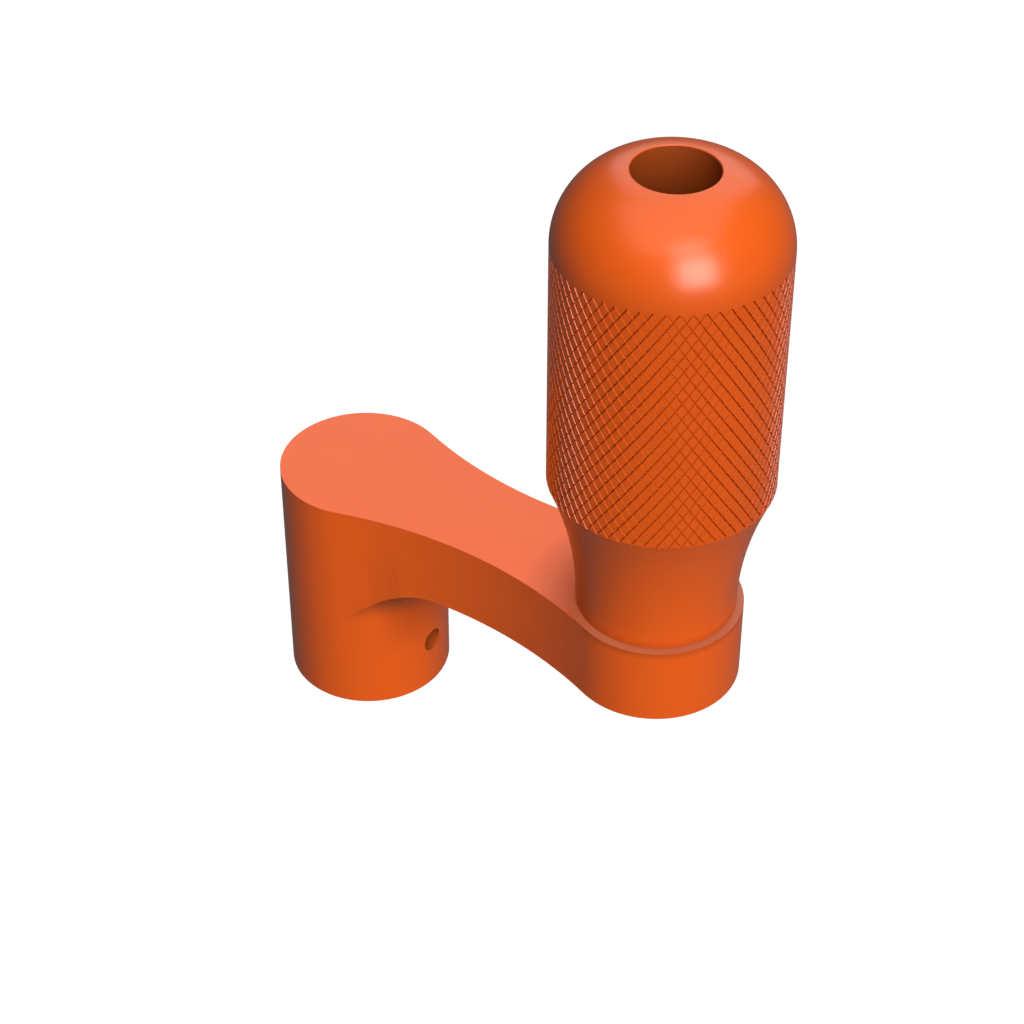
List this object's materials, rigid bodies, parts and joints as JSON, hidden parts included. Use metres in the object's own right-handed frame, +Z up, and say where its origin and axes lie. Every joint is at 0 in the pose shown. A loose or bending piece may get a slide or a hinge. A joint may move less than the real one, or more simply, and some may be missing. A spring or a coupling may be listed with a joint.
{
  "type": "crank handle",
  "caption": "Short crank with a shaft hub, a flat waisted arm and an upright diamond-knurled grip that revolves on a shoulder screw.",
  "frame": {"origin": "centre of the shaft bore's mouth, on the hub's lower face", "axes": "+Z up along the shaft's axis, from the bore's mouth into the hub; +X along the arm, from the hub to the grip"},
  "size_m": [0.0713, 0.0278, 0.0952],
  "materials": {
    "orange_coat": "satin",
    "screw_steel": "satin",
    "bush_plastic": "matte",
    "black_steel": "satin"
  },
  "bodies": {
    "crank": {"crank_arm": "orange_coat", "shoulder_screw": "screw_steel", "set_screw": "black_steel"},
    "handle": {"grip": "orange_coat", "upper_bush": "bush_plastic", "lower_bush": "bush_plastic"}
  },
  "joints": [
    {"name": "grip_spin", "type": "hinge", "parent": "crank", "child": "handle", "pos_m": [0.0464, 0, 0.03325], "axis": [0, 0, 1], "continuous": true}
  ]
}
